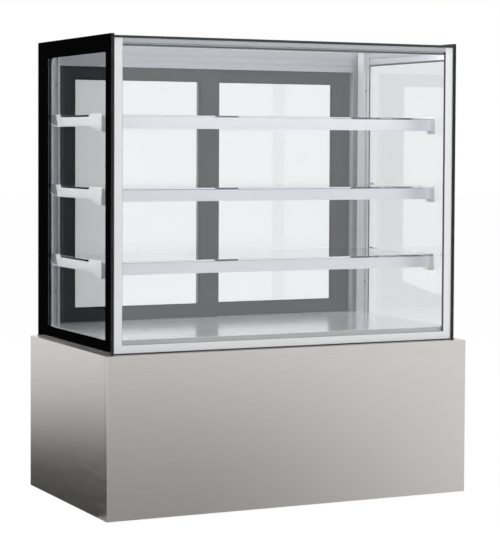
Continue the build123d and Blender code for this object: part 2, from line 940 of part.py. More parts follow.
def top_glass():
    return block((-spacer_side, spacer_side), (glass_front, surround_front), (ceiling, top_surface))


def lamp_profile():
    x = (-room_side + small_gap, room_side - small_gap)
    y = (room_front, room_front + lamp_depth)
    z = (ceiling - lamp_height, ceiling)
    profile = block(x, y, z)
    seat_y = (y[0] + lamp_lens_inset, y[1] - lamp_lens_inset)
    return profile - block(x, seat_y, (z[0], z[0] + lamp_lens))


def lamp_lens_body():
    x = (-room_side + small_gap, room_side - small_gap)
    y = (room_front + lamp_lens_inset, room_front + lamp_depth - lamp_lens_inset)
    low = ceiling - lamp_height
    return block(x, y, (low, low + lamp_lens))


# Uprights, arms and shelves


def right_upright():
    x = (upright_side - upright_width, upright_side)
    y = (upright_nose, upright_back)
    post = block(x, y, (deck_top, ceiling))
    middle = (x[0] + x[1]) / 2
    groove = (middle - upright_groove / 2, middle + upright_groove / 2)
    post -= block(groove, (y[0] - cut, y[0] + upright_groove_depth), (deck_top - cut, ceiling + cut))
    bore_x = (x[0] + upright_wall, x[1] - upright_wall)
    bore_y = (y[0] + upright_groove_depth + upright_wall, y[1] - upright_wall)
    post -= block(bore_x, bore_y, (deck_top - cut, ceiling + cut))
    hole_depth = upright_groove_depth + upright_wall + 2 * cut
    for level in upright_screw_levels:
        post -= rod((middle, y[0] - cut, level), (0, 1, 0), upright_hole_radius, hole_depth)
    return post


def right_shelf_arm(level):
    """Side plate with a rounded rear end, the ledge under the glass and the deeper front cap."""
    nose = front + shelf_front
    tail = upright_back + arm_rear_overhang
    top = level + arm_rise
    low = level - arm_drop
    under = level - shelf_glass
    lip_front = nose + arm_lip_front
    lip_rear = upright_nose - arm_lip_rear
    cap_end = nose + arm_cap_length
    bow = arm_drop + arm_rise
    straight = Polyline(
        (tail, top),
        (lip_rear, top),
        (lip_rear, under),
        (lip_front, under),
        (lip_front, top),
        (nose, top),
        (nose, level - arm_cap_drop),
        (cap_end, level - arm_cap_drop),
        (cap_end + arm_cap_slope, low),
        (tail - bow, low),
    )
    swing = RadiusArc((tail - bow, low), (tail, top), -bow)
    outline = Plane.YZ * make_face([straight, swing])
    plate = Pos(upright_side, 0, 0) * extrude(outline, arm_plate, dir=(1, 0, 0))
    ledge_y = (nose + arm_cap_length, upright_nose)
    ledge = block((arm_inner, upright_side), ledge_y, (under - arm_ledge_thick, under))
    cap = block((arm_inner, upright_side), (nose, nose + arm_cap_length), (level - arm_cap_drop, under))
    return plate + ledge + cap


def shelf_arms():
    return [arm for level in shelf_levels for arm in pair(right_shelf_arm(level))]


def shelf(level):
    x = (-upright_side + small_gap, upright_side - small_gap)
    y = (front + shelf_front, upright_nose - small_gap)
    plate = block(x, y, (level - shelf_glass, level))
    return chamfer(plate.edges(), shelf_chamfer)


def light_rail(level, y):
    top = level - shelf_glass
    return block((-arm_inner, arm_inner), y, (top - rail_height, top))


def shelf_lights():
    y = (front + shelf_front + rail_diffuser, front + shelf_front + rail_depth)
    return [light_rail(level, y) for level in shelf_levels]


def light_diffusers():
    y = (front + shelf_front, front + shelf_front + rail_diffuser)
    return [light_rail(level, y) for level in shelf_levels] + [lamp_lens_body()]


# Rear doors and their surround


def track_slots(z):
    """The two grooves that the doors run in."""
    x = (-room_side - cut, room_side + cut)
    reach = door_thick + track_clearance
    return [block(x, (low - track_clearance, low + reach), z) for low in door_fronts()]


def door_fronts():
    """Front faces of the left door, in the inner track, and of the right door behind it."""
    inner = surround_front + track_lip + track_clearance
    return inner, inner + slot_width + track_lip


def rear_header():
    x = (-room_side + small_gap, room_side - small_gap)
    header = block(x, (surround_front, glass_back), (header_bottom, top_surface))
    header -= track_slots((header_bottom - cut, header_bottom + track_depth))
    step_low = header_bottom + track_depth + header_step
    y = (surround_front - cut, surround_front + header_step / 2)
    for low in (step_low, step_low + (ceiling - step_low) / 2):
        header -= block((x[0] - cut, x[1] + cut), y, (low, low + header_step))
    return header


def door_surround():
    x = (-room_side + small_gap, room_side - small_gap)
    y = (surround_front, glass_back)
    sill = block(x, y, (base_height, deck_top)) - track_slots((deck_top - track_depth, deck_top + cut))
    return [sill] + pair(block((jamb_face, x[1]), y, (deck_top, header_bottom)))


def door_span():
    """The left door's edges: beside its jamb and just past the middle."""
    return -jamb_face + track_clearance, door_stile / 2


def door_heights():
    return deck_top - sill_cover, header_bottom + track_cover


def left_door_frame(y_front):
    x0, x1 = door_span()
    z0, z1 = door_heights()
    y = (y_front, y_front + door_thick)
    widths = (door_stile, door_stile, door_rail, door_rail)
    bars = [block(x, thick, z) for x, z, thick in frame_bars((x0, z0), (x1, z1), widths, y)]
    middle = y_front + door_thick / 2
    half = door_pane + door_glass_gap / 2 + small_gap / 2
    groove_x = (x0 + door_stile - door_groove, x1 - door_stile + door_groove)
    groove_z = (z0 + door_rail - door_groove, z1 - door_rail + door_groove)
    groove = block(groove_x, (middle - half, middle + half), groove_z)
    pull_x = x0 + pull_inset
    pull = plaque(pull_x, pull_level, pull_width, pull_height, (y[1] - pull_depth, y[1] + cut))
    pull = fillet(pull.edges().filter_by(Axis.Y), pull_corner)
    return [bar - groove - pull for bar in bars]


def left_door_glass(y_front):
    x0, x1 = door_span()
    z0, z1 = door_heights()
    middle = y_front + door_thick / 2
    reach = door_groove - small_gap
    x = (x0 + door_stile - reach, x1 - door_stile + reach)
    z = (z0 + door_rail - reach, z1 - door_rail + reach)
    near = door_glass_gap / 2
    panes = [block(x, (middle - near - door_pane, middle - near), z)]
    return panes + [block(x, (middle + near, middle + near + door_pane), z)]


def left_door_glides(y_front):
    x0, x1 = door_span()
    z = (deck_top - track_depth + small_gap, door_heights()[0])
    starts = (x0 + glide_inset, x1 - glide_inset - glide_length)
    y = (y_front, y_front + door_thick)
    return [block((start, start + glide_length), y, z) for start in starts]


def save_doors():
    inner, outer = door_fronts()
    makers = {"frame": left_door_frame, "glass": left_door_glass, "glides": left_door_glides}
    for piece, build in makers.items():
        save(f"left_door_{piece}", *build(inner))
        save(f"right_door_{piece}", *[mirrored(solid) for solid in build(outer)])


# Write every sub-part

save("base_frame", *base_frame())
save("base_pan", base_pan())
for name, place in foot_places().items():
    save(f"foot_{name}", levelling_foot(*place))
save("front_panel", front_panel())
save("right_side_panel", right_side_panel())
save("left_side_panel", mirrored(right_side_panel()))
save("top_ledge", *top_ledge())
save("service_grille", service_grille())
save("control_fascia", control_fascia())
save("panel_screws", *panel_screws())
save("controller_body", controller_body())
for name, place in button_places().items():
    save(f"{name}_button", controller_button(place))
save("switch_bezels", switch_bezel(power_rocker_x), switch_bezel(light_rocker_x))
save("power_rocker", rocker(power_rocker_x))
save("light_rocker", rocker(light_rocker_x))
save("cable_gland", cable_gland())
save("condenser_coil", condenser_coil())
save("condenser_shroud", condenser_shroud())
save("condenser_fan_motor", condenser_fan_motor())
save("condenser_fan", condenser_fan())
save("compressor", compressor())
save("compressor_mounts", *compressor_mounts())
save("refrigerant_pipes", *refrigerant_pipes())
save("condensate_tray", condensate_tray())
save("drain_hose", drain_hose())
save("insulated_well", *insulated_well())
save("evaporator_coil", evaporator_coil())
save("evaporator_fan_plate", evaporator_fan_plate())
save("evaporator_fan_motors", *[evaporator_fan_motor(x) for x in (-small_fan_spread, small_fan_spread)])
save("left_evaporator_fan", evaporator_fan(-small_fan_spread))
save("right_evaporator_fan", evaporator_fan(small_fan_spread))
save("deck", deck())
save("right_side_glass", *right_side_glass())
save("left_side_glass", *[mirrored(solid) for solid in right_side_glass()])
save("front_glass", *front_glass())
save("glass_spacers", *glass_spacers())
save("side_glass_borders", *side_glass_borders())
save("front_glass_border", *front_glass_border())
save("top_glass", top_glass())
save("lamp_profile", lamp_profile())
save("uprights", *pair(right_upright()))
save("shelf_arms", *shelf_arms())
for name, level in zip(("lower", "middle", "upper"), shelf_levels):
    save(f"{name}_shelf", shelf(level))
save("shelf_lights", *shelf_lights())
save("light_diffusers", *light_diffusers())
save("rear_header", rear_header())
save("door_surround", *door_surround())
save_doors()
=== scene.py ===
import json
import math
import bpy
from mathutils import Matrix, Vector

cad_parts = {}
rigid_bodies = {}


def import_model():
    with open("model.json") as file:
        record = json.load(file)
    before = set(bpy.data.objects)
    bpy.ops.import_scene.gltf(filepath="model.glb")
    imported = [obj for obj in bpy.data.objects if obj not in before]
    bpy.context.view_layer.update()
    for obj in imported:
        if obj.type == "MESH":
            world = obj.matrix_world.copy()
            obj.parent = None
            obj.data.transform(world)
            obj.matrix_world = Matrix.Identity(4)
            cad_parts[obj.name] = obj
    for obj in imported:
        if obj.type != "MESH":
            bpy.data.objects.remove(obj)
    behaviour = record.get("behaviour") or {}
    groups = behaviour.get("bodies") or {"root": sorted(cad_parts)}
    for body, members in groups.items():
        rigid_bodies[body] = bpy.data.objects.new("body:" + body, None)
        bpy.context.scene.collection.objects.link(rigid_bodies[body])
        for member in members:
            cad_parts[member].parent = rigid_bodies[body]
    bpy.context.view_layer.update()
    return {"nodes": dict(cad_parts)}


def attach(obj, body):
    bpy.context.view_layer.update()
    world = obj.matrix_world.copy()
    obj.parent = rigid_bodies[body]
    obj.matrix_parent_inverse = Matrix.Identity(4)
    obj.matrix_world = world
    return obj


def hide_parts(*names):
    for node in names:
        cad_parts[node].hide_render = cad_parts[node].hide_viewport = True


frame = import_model()
nodes = frame["nodes"]
print("frame loaded", len(nodes))

# Camera, stage and lamps

camera = {
    "place": (-2.5641, -5.3248, 1.0832),
    "yaw": -25.795,
    "pitch": -2.385,
    "roll": 0.281,
    "lens": 121.53,
    "sensor": 36,
    "shift": -0.1002,         # part of the photo's rise, small enough for views from other sides
    "farEnd": 200,
}


def placeCamera():
    data = bpy.data.cameras.new("photoCamera")
    data.lens = camera["lens"]
    data.sensor_width = camera["sensor"]
    data.shift_y = camera["shift"]
    data.clip_end = camera["farEnd"]
    eye = bpy.data.objects.new("photoCamera", data)
    bpy.context.scene.collection.objects.link(eye)
    turn = Matrix.Rotation(math.radians(camera["yaw"]), 4, "Z")
    tilt = Matrix.Rotation(math.radians(90 + camera["pitch"]), 4, "X")
    lean = Matrix.Rotation(math.radians(camera["roll"]), 4, "Z")
    eye.matrix_world = Matrix.Translation(camera["place"]) @ turn @ tilt @ lean
    bpy.context.scene.camera = eye


def linear(hexText):
    # sRGB hex to the linear colour that a socket takes
    shares = [int(hexText[i:i + 2], 16) / 255 for i in (1, 3, 5)]
    return [s / 12.92 if s <= 0.04045 else ((s + 0.055) / 1.055) ** 2.4 for s in shares] + [1.0]


def add(tree, kind, settings=None, links=None):
    # one node, its settings by property or socket name, and the outputs that feed it
    new = tree.nodes.new("ShaderNode" + kind)
    for name, value in (settings or {}).items():
        if isinstance(name, str) and hasattr(new, name):
            setattr(new, name, value)
        else:
            new.inputs[name].default_value = value
    for name, source in (links or {}).items():
        tree.links.new(source, new.inputs[name])
    return new


def seenShare(tree):
    # 1 for what the camera sees, straight or in a mirror or through glass
    path = add(tree, "LightPath")
    mirror = add(tree, "Math", {"operation": "MAXIMUM"},
                 {0: path.outputs["Is Camera Ray"], 1: path.outputs["Is Glossy Ray"]})
    glass = add(tree, "Math", {"operation": "MAXIMUM"},
                {0: mirror.outputs[0], 1: path.outputs["Is Transmission Ray"]})
    return glass.outputs[0]


stageLook = {
    "floor": "#FAFAFA",
    "floorGlow": 0.94,        # how far the floor is lifted to white
    "ambient": 0.80,
    "size": 60,
}


def layFloor():
    bpy.ops.mesh.primitive_plane_add(size=stageLook["size"])
    floor = bpy.context.active_object
    floor.name = "studioFloor"
    skin = bpy.data.materials.new("studioFloor")
    skin.use_nodes = True
    tree = skin.node_tree
    tree.nodes.clear()
    paint = add(tree, "BsdfDiffuse", {"Color": linear(stageLook["floor"])})
    glow = add(tree, "Emission", {"Strength": 1.0})
    share = add(tree, "Math", {"operation": "MULTIPLY", 1: stageLook["floorGlow"]}, {0: seenShare(tree)})
    mix = add(tree, "MixShader", {}, {0: share.outputs[0], 1: paint.outputs[0], 2: glow.outputs[0]})
    add(tree, "OutputMaterial", {}, {"Surface": mix.outputs[0]})
    floor.data.materials.append(skin)


def lightStudio():
    world = bpy.data.worlds.new("studioAir")
    world.use_nodes = True
    bpy.context.scene.world = world
    tree = world.node_tree
    tree.nodes.clear()
    white = add(tree, "Background", {"Color": (1, 1, 1, 1), "Strength": 1.0})
    soft = add(tree, "Background", {"Color": (1, 1, 1, 1), "Strength": stageLook["ambient"]})
    mix = add(tree, "MixShader", {}, {0: seenShare(tree), 1: soft.outputs[0], 2: white.outputs[0]})
    add(tree, "OutputWorld", {}, {"Surface": mix.outputs[0]})


lamps = {
    # name: place, aimed at, width, height, watts
    "keyRight": ((3.2, -3.4, 2.6), (0.1, 0.0, 0.6), 2.4, 2.0, 80),
    "fillTop": ((-0.4, -0.6, 4.2), (0.0, 0.0, 0.8), 2.6, 2.0, 70),
    "sideLeft": ((-3.4, 0.4, 2.0), (-0.6, 0.0, 0.9), 2.0, 2.0, 150),
    "caseLight": ((0.0, -0.268, 1.362), (0.0, 0.3, 1.24), 1.1, 0.012, 1.5),
}


def hangLamps():
    for name, (place, aim, width, height, watts) in lamps.items():
        data = bpy.data.lights.new(name, "AREA")
        data.shape = "RECTANGLE"
        data.size = width
        data.size_y = height
        data.energy = watts
        lamp = bpy.data.objects.new(name, data)
        bpy.context.scene.collection.objects.link(lamp)
        toward = Vector(aim) - Vector(place)
        lamp.matrix_world = Matrix.Translation(place) @ toward.to_track_quat("-Z", "Y").to_matrix().to_4x4()
        lamp.visible_camera = False
        lamp.visible_transmission = False
        lamp.visible_glossy = False


flags = {
    # dark cloths, and one bright panel, that only metal and glass mirror:
    # centre, across, up or along, turn, tilt, grey, soft share of each half (above 1: one slope, end to end), glow
    "flagFar": ((-3.39, 7.6, 1.05), 0.9, 2.1, 20, 90, "#050505", (0.02, 0.02), 1.0),
    "matFar": ((-2.72, 5.6, 0.003), 0.9, 4.7, 20, 0, "#050505", (0.02, 0.02), 1.0),
    "matSide": ((-1.605, 2.05, 0.004), 1.8, 5.0, 20, 0, "#323233", (0.4, 2.0), 1.0),
    "matFront": ((-0.30, -1.21, 0.002), 3.8, 5.2, 25, 0, "#9A9898", (0.9, 0.3), 1.0),
    "softboxSide": ((-4.7, 6.0, 1.2), 2.4, 2.3, 25, 90, "#FFFFFF", (0.3, 0.3), 1.7),
}


def layFlags():
    edge = 0.5          # where each flag's unit plane ends
    for name, (place, width, height, turn, tilt, grey, soft, glow) in flags.items():
        skin = bpy.data.materials.new(name)
        skin.use_nodes = True
        tree = skin.node_tree
        tree.nodes.clear()
        path = add(tree, "LightPath")
        # 1 once the ray has met a mirror
        mirrored = add(tree, "Math", {"operation": "GREATER_THAN", 1: 0.5}, {0: path.outputs["Glossy Depth"]})
        inside = add(tree, "SeparateXYZ", {}, {0: add(tree, "TexCoord").outputs["Object"]})
        share = mirrored.outputs[0]
        if name.endswith("Far"):        # only glass mirrors these two: its reflections are perfectly sharp
            share = add(tree, "Math", {"operation": "MULTIPLY"},
                        {0: share, 1: path.outputs["Is Singular Ray"]}).outputs[0]
        for axis in (0, 1):
            away = inside.outputs[axis]
            if soft[axis] < 1:
                away = add(tree, "Math", {"operation": "ABSOLUTE"}, {0: away}).outputs[0]
            fade = add(tree, "MapRange", {"interpolation_type": "SMOOTHSTEP", "From Min": edge * (1 - soft[axis]),
                                          "From Max": edge, "To Min": 1.0, "To Max": 0.0}, {"Value": away})
            share = add(tree, "Math", {"operation": "MULTIPLY"}, {0: share, 1: fade.outputs[0]}).outputs[0]
        clear = add(tree, "BsdfTransparent")
        seen = add(tree, "Emission", {"Color": linear(grey), "Strength": glow})
        mix = add(tree, "MixShader", {}, {0: share, 1: clear.outputs[0], 2: seen.outputs[0]})
        add(tree, "OutputMaterial", {}, {"Surface": mix.outputs[0]})
        bpy.ops.mesh.primitive_plane_add(size=1)
        flag = bpy.context.active_object
        flag.name = name
        flag.matrix_world = (Matrix.Translation(place) @ Matrix.Rotation(math.radians(turn), 4, "Z")
                             @ Matrix.Rotation(math.radians(tilt), 4, "X") @ Matrix.Diagonal((width, height, 1, 1)))
        flag.data.materials.append(skin)
        flag.visible_camera = False
        flag.visible_diffuse = False
        flag.visible_shadow = False


bpy.context.scene.view_settings.view_transform = "Standard"
placeCamera()
layFloor()
lightStudio()
hangLamps()
layFlags()
print("stage set")

# Materials: each has the real one's name, its grain in millimetres along X, Y and Z, and its relief in millimetres.
# A grain finer than the picture can show, such as a powder's, is drawn as coarse as it needs to be seen close by.

finishes = {
    # cold-rolled stainless, brushed along each sheet: fine level lines and a soft, smeared sheen
    "brushed_stainless": {
        "name": "brushedStainless", "colour": "#DBD9D6", "second": "#CFCDCA", "metallic": 1.0,
        "roughness": (0.30, 0.40), "grain": (90, 90, 2.2), "bump": 0.02, "Anisotropic": 0.4,
    },
    # the same sheet on the service side, a little duller
    "rear_stainless": {
        "name": "brushedRearStainless", "colour": "#C8C7C5", "second": "#BAB9B7", "metallic": 1.0,
        "roughness": (0.34, 0.44), "grain": (90, 90, 2.2), "bump": 0.02, "Anisotropic": 0.4,
    },
    # stainless polished with felt: nearly a mirror, with hair-fine wipe marks
    "polished_stainless": {
        "name": "polishedStainless", "colour": "#EEF0F1", "second": "#E4E7E8", "metallic": 0.5,
        "roughness": (0.14, 0.22), "grain": (160, 6, 6), "bump": 0.01,
    },
    # hot-dip zinc on steel tube: pale crystals a few centimetres across
    "galvanised_steel": {
        "name": "hotDipGalvanisedSteel", "colour": "#B4B9BD", "second": "#8E959A", "metallic": 1.0,
        "roughness": (0.32, 0.52), "pattern": "spangle", "grain": (14, 14, 14), "bump": 0.03,
    },
    # bright zinc plate on a pressed screw: silver with a faint blue
    "zinc_screw": {
        "name": "zincPlatedScrew", "colour": "#C3C8CC", "second": "#A9AFB4", "metallic": 1.0,
        "roughness": (0.22, 0.34), "grain": (2, 2, 2), "bump": 0.02,
    },
    # turned steel foot: rings of tool marks under a nickel shine
    "foot_steel": {
        "name": "turnedNickelSteel", "colour": "#B8B7B3", "second": "#A2A19D", "metallic": 1.0,
        "roughness": (0.24, 0.36), "grain": (30, 30, 0.8), "bump": 0.03,
    },
    # moulded ABS with a spark-eroded texture: even black, softly speckled
    "black_abs": {
        "name": "mouldedBlackAbs", "colour": "#1B1C1E", "second": "#151617", "metallic": 0.0,
        "roughness": (0.42, 0.54), "grain": (0.9, 0.9, 0.9), "bump": 0.04, "IOR": 1.54,
    },
    # silicone rubber key caps: matt and slightly dusty
    "button_rubber": {
        "name": "siliconeRubber", "colour": "#5A5E62", "second": "#505458", "metallic": 0.0,
        "roughness": (0.6, 0.72), "grain": (1.2, 1.2, 1.2), "bump": 0.02, "IOR": 1.41,
    },
    # glossy moulded nylon rocker: dark with a wet edge
    "rocker_plastic": {
        "name": "glossMouldedNylon", "colour": "#16181A", "second": "#111213", "metallic": 0.0,
        "roughness": (0.18, 0.26), "grain": (3, 3, 3), "bump": 0.01, "IOR": 1.53,
    },
    # black stoving enamel on a drawn can: orange peel
    "compressor_paint": {
        "name": "stovedBlackEnamel", "colour": "#1D1F20", "second": "#17191A", "metallic": 0.0,
        "roughness": (0.24, 0.36), "grain": (3.5, 3.5, 3.5), "bump": 0.12, "IOR": 1.5, "Coat Weight": 0.3,
    },
    # natural rubber bush: matt, a little grey with bloom
    "mount_rubber": {
        "name": "naturalRubber", "colour": "#26272A", "second": "#333438", "metallic": 0.0,
        "roughness": (0.72, 0.86), "grain": (4, 4, 4), "bump": 0.04, "IOR": 1.52,
    },
    # stacked aluminium fins: bright upright lines at the fins' pitch
    "coil_aluminium": {
        "name": "rolledFinAluminium", "colour": "#CDD0D2", "second": "#777C80", "metallic": 1.0,
        "roughness": (0.3, 0.45), "pattern": "fins", "grain": (3.2, 3.2, 3.2), "bump": 0.8,
    },
    # black polyester powder on sheet: fine pimples
    "shroud_paint": {
        "name": "blackPolyesterPowder", "colour": "#242628", "second": "#1D1F21", "metallic": 0.0,
        "roughness": (0.45, 0.58), "grain": (1.6, 1.6, 1.6), "bump": 0.08, "IOR": 1.5,
    },
    # die-cast motor shell: grey with a sandy skin
    "motor_casing": {
        "name": "dieCastAluminium", "colour": "#A6A9AB", "second": "#95989A", "metallic": 1.0,
        "roughness": (0.45, 0.6), "grain": (1.5, 1.5, 1.5), "bump": 0.08,
    },
    # glass-filled polypropylene blades: charcoal with pale flow marks
    "fan_plastic": {
        "name": "glassFilledPolypropylene", "colour": "#2C2E30", "second": "#3A3C3F", "metallic": 0.0,
        "roughness": (0.46, 0.6), "grain": (9, 9, 9), "bump": 0.03, "IOR": 1.49,
    },
    # drawn copper tube: warm, with darker heat stains
    "copper_pipe": {
        "name": "drawnCopper", "colour": "#C07A54", "second": "#8A5238", "metallic": 1.0,
        "roughness": (0.22, 0.4), "grain": (30, 30, 30), "bump": 0.02,
    },
    # vacuum-formed polystyrene tray: off-white and satin
    "tray_plastic": {
        "name": "vacuumFormedPolystyrene", "colour": "#DADBD8", "second": "#CFD0CC", "metallic": 0.0,
        "roughness": (0.36, 0.48), "grain": (12, 12, 12), "bump": 0.02, "IOR": 1.59,
    },
    # extruded PVC hose: cloudy grey
    "hose_pvc": {
        "name": "extrudedSoftPvc", "colour": "#B9BDBE", "second": "#A9ADAF", "metallic": 0.0,
        "roughness": (0.34, 0.44), "grain": (20, 20, 4), "bump": 0.02, "IOR": 1.53,
    },
    # foamed-in-place lining: white embossed skin over foam
    "insulation": {
        "name": "foamBackedLiner", "colour": "#E6E7E5", "second": "#DBDCD9", "metallic": 0.0,
        "roughness": (0.42, 0.56), "grain": (5, 5, 5), "bump": 0.1, "IOR": 1.49,
    },
    # float glass: clear, with the faint green of its iron
    "clear_glass": {
        "name": "floatGlass", "colour": "#FCFDFD", "second": "#FBFCFC", "metallic": 0.0,
        "roughness": 0.0, "grain": (300, 300, 300), "bump": 0.0, "IOR": 1.45, "Transmission Weight": 1.0,
    },
    # butyl-filled spacer bar behind the print: dead matt black
    "black_spacer": {
        "name": "butylSpacer", "colour": "#08090A", "second": "#0E0F10", "metallic": 0.0,
        "roughness": (0.6, 0.75), "grain": (3, 3, 3), "bump": 0.03, "IOR": 1.5,
    },
    # ceramic ink fired into the glass: solid black, tiny pinholes of sheen
    "black_enamel": {
        "name": "firedBlackCeramicInk", "colour": "#030303", "second": "#060606", "metallic": 0.0,
        "roughness": (0.45, 0.55), "grain": (1.5, 1.5, 1.5), "bump": 0.01, "IOR": 1.4,
    },
    # silver ceramic ink: near-white with a satin metal lustre
    "silver_enamel": {
        "name": "firedSilverCeramicInk", "colour": "#FAFAFB", "second": "#F3F3F5", "metallic": 0.0,
        "roughness": (0.4, 0.5), "grain": (1.4, 1.4, 1.4), "bump": 0.01, "IOR": 1.5,
    },
    # drawn aluminium section, etched and anodised clear: soft die lines along its length
    "satin_aluminium": {
        "name": "anodisedSatinAluminium", "colour": "#E2E4E8", "second": "#D6D9DE", "metallic": 0.25,
        "roughness": (0.34, 0.44), "grain": (1.6, 1.6, 120), "bump": 0.02,
    },
    # white polyester powder on steel: even, fine orange peel
    "white_powder_coat": {
        "name": "whitePolyesterPowder", "colour": "#EFF0F0", "second": "#E8E9EA", "metallic": 0.0,
        "roughness": (0.4, 0.5), "grain": (2.4, 2.4, 2.4), "bump": 0.05, "IOR": 1.5,
    },
    # opal polycarbonate over a lamp strip: milky and evenly bright
    "opal_diffuser": {
        "name": "opalPolycarbonate", "colour": "#F4F5FA", "second": "#EDEFF6", "metallic": 0.0,
        "roughness": (0.35, 0.45), "grain": (8, 8, 8), "bump": 0.0, "IOR": 1.58,
        "Emission Strength": 0.16, "Emission Color": linear("#F2F4FF"),
    },
    # aluminium section anodised black: slate where light grazes it
    "black_aluminium": {
        "name": "anodisedBlackAluminium", "colour": "#474E51", "second": "#3E4447", "metallic": 0.6,
        "roughness": (0.34, 0.44), "grain": (1.8, 1.8, 120), "bump": 0.02,
    },
    # cast nylon runner: cream and waxy
    "nylon": {
        "name": "castNylon", "colour": "#E4E1D6", "second": "#DAD7CB", "metallic": 0.0,
        "roughness": (0.38, 0.5), "grain": (6, 6, 6), "bump": 0.02, "IOR": 1.53,
    },
    # extruded EPDM gasket: dull black with faint die lines; also the finish of the black strip of painted shadow
    # under the light profile
    "gasket": {
        "name": "extrudedEpdmAndPaintedShadow", "slot": "black_spacer", "colour": "#101112", "second": "#18191A",
        "metallic": 0.0, "roughness": (0.62, 0.76), "grain": (60, 60, 2), "bump": 0.03, "IOR": 1.5,
    },
    # neutral-cure silicone bead: black with a soft wet line
    "sealant": {
        "name": "blackSiliconeBead", "slot": "black_spacer", "colour": "#0C0D0E", "second": "#131415",
        "metallic": 0.0, "roughness": (0.3, 0.4), "grain": (18, 18, 18), "bump": 0.04, "IOR": 1.41,
    },
    # polypropylene pile: dark, broken into tufts
    "brush": {
        "name": "wovenPileStrip", "slot": "fan_plastic", "colour": "#26282A", "second": "#0E0F10",
        "metallic": 0.0, "roughness": (0.8, 0.92), "grain": (2, 2, 2), "bump": 0.5, "IOR": 1.49,
    },
    # paint on the sawn front edge of the top glass: nearly black, a little green from the glass
    "edgePaint": {
        "name": "edgePaintOnGlass", "slot": "black_enamel", "colour": "#1A2322", "second": "#141B1A",
        "metallic": 0.0, "roughness": (0.3, 0.4), "grain": (12, 12, 12), "bump": 0.01, "IOR": 1.5,
    },
    # the same anodised section laid level: its die lines run front to back
    "trimAluminium": {
        "name": "anodisedTrimAluminium", "slot": "satin_aluminium", "colour": "#C6C9CF", "second": "#B8BBC2",
        "metallic": 0.45, "roughness": (0.34, 0.44), "grain": (1.6, 120, 1.6), "bump": 0.02,
    },
    # the staff side's header and door surround, of the same alloy left duller: die lines run across the case
    "rearAluminium": {
        "name": "anodisedRearAluminium", "slot": "satin_aluminium", "colour": "#D4D7DD", "second": "#C8CBD2",
        "metallic": 0.5, "roughness": (0.36, 0.46), "grain": (120, 1.6, 1.6), "bump": 0.02,
    },
    # pressed hook plate under the white arm's edge: its dull grey is painted shade on the plate inside the hook
    "bracketZinc": {
        "name": "paintedShadeHookPlate", "slot": "satin_aluminium", "colour": "#8E9193", "second": "#808385",
        "metallic": 0.3, "roughness": (0.4, 0.5), "grain": (8, 8, 8), "bump": 0.02,
    },
    # lit figures behind a smoked window
    "digits": {
        "name": "litDisplayFigures", "slot": "opal_diffuser", "colour": "#FF5A3C", "second": "#F04A2E",
        "metallic": 0.0, "roughness": (0.4, 0.5), "grain": (2, 2, 2), "bump": 0.0, "IOR": 1.5,
        "Emission Strength": 1.2, "Emission Color": linear("#FF4B30"),
    },
    # blackened steel screw in the uprights' grooves
    "darkScrew": {
        "name": "blackenedSteelScrew", "slot": "zinc_screw", "colour": "#4A4D50", "second": "#3A3C3F",
        "metallic": 1.0, "roughness": (0.36, 0.48), "grain": (2, 2, 2), "bump": 0.02,
    },
}
# what makeFinish takes by itself; any other key of a finish names a socket of the shader
ownKeys = ("name", "slot", "colour", "second", "metallic", "roughness", "pattern", "grain", "bump")
texture = {
    "detail": 3.0,
    "soften": 0.6,
    "finWaver": 0.4,
    "usedShare": (0.3, 0.7),      # the part of the noise that is spread over the roughness
    "relief": 0.6,
}


def makeFinish(values):
    skin = bpy.data.materials.new(values["name"])
    skin.use_nodes = True
    tree = skin.node_tree
    tree.nodes.clear()
    place = add(tree, "TexCoord")
    steps = [1000 / size for size in values["grain"]]
    scaled = add(tree, "Mapping", {"Scale": steps}, {"Vector": place.outputs["Object"]})
    pattern = values.get("pattern", "grain")
    if pattern == "spangle":
        cells = add(tree, "TexVoronoi", {"feature": "F1", "Scale": 1.0}, {"Vector": scaled.outputs[0]})
        share = add(tree, "SeparateColor", {}, {"Color": cells.outputs["Color"]}).outputs[0]
    elif pattern == "fins":
        bands = {"bands_direction": "X", "Scale": 1.0 / math.pi, "Distortion": texture["finWaver"]}
        waves = add(tree, "TexWave", bands, {"Vector": scaled.outputs[0]})
        share = waves.outputs["Fac"]
    else:
        grain = add(tree, "TexNoise", {"Scale": 1.0, "Detail": texture["detail"], "Roughness": texture["soften"]},
                    {"Vector": scaled.outputs[0]})
        share = grain.outputs["Fac"]
    tint = add(tree, "Mix", {"data_type": "RGBA"}, {"Factor": share})
    tint.inputs[6].default_value = linear(values["colour"])
    tint.inputs[7].default_value = linear(values["second"])
    shader = add(tree, "BsdfPrincipled", {"Metallic": values["metallic"]}, {"Base Color": tint.outputs[2]})
    rough = values["roughness"]
    if isinstance(rough, tuple):
        low, high = texture["usedShare"]
        spread = add(tree, "MapRange", {"From Min": low, "From Max": high, "To Min": rough[0], "To Max": rough[1]},
                     {"Value": share})
        tree.links.new(spread.outputs[0], shader.inputs["Roughness"])
    else:
        shader.inputs["Roughness"].default_value = rough
    if values["bump"]:
        relief = add(tree, "Bump", {"Strength": texture["relief"], "Distance": values["bump"] / 1000},
                     {"Height": share})
        tree.links.new(relief.outputs[0], shader.inputs["Normal"])
    for key, value in values.items():
        if key not in ownKeys:
            shader.inputs[key].default_value = value
    add(tree, "OutputMaterial", {}, {"Surface": shader.outputs[0]})
    return skin


skins = {key: makeFinish(values) for key, values in finishes.items()}

for name, piece in nodes.items():
    for place in piece.material_slots:
        slotName = place.material.name.split(".")[0] if place.material else ""
        if slotName in skins:
            place.material = skins[slotName]
        else:
            print("no finish for", name, slotName)
for name in ("rear_header", "door_surround"):
    for place in nodes[name].material_slots:
        place.material = skins["rearAluminium"]
glassNodes = ("left_side_glass", "right_side_glass", "front_glass", "top_glass", "left_door_glass",
              "right_door_glass", "lower_shelf", "middle_shelf", "upper_shelf")
for name in glassNodes:
    nodes[name].visible_shadow = False      # lamps light the inside of the case
print("finishes on", len(nodes), "nodes")

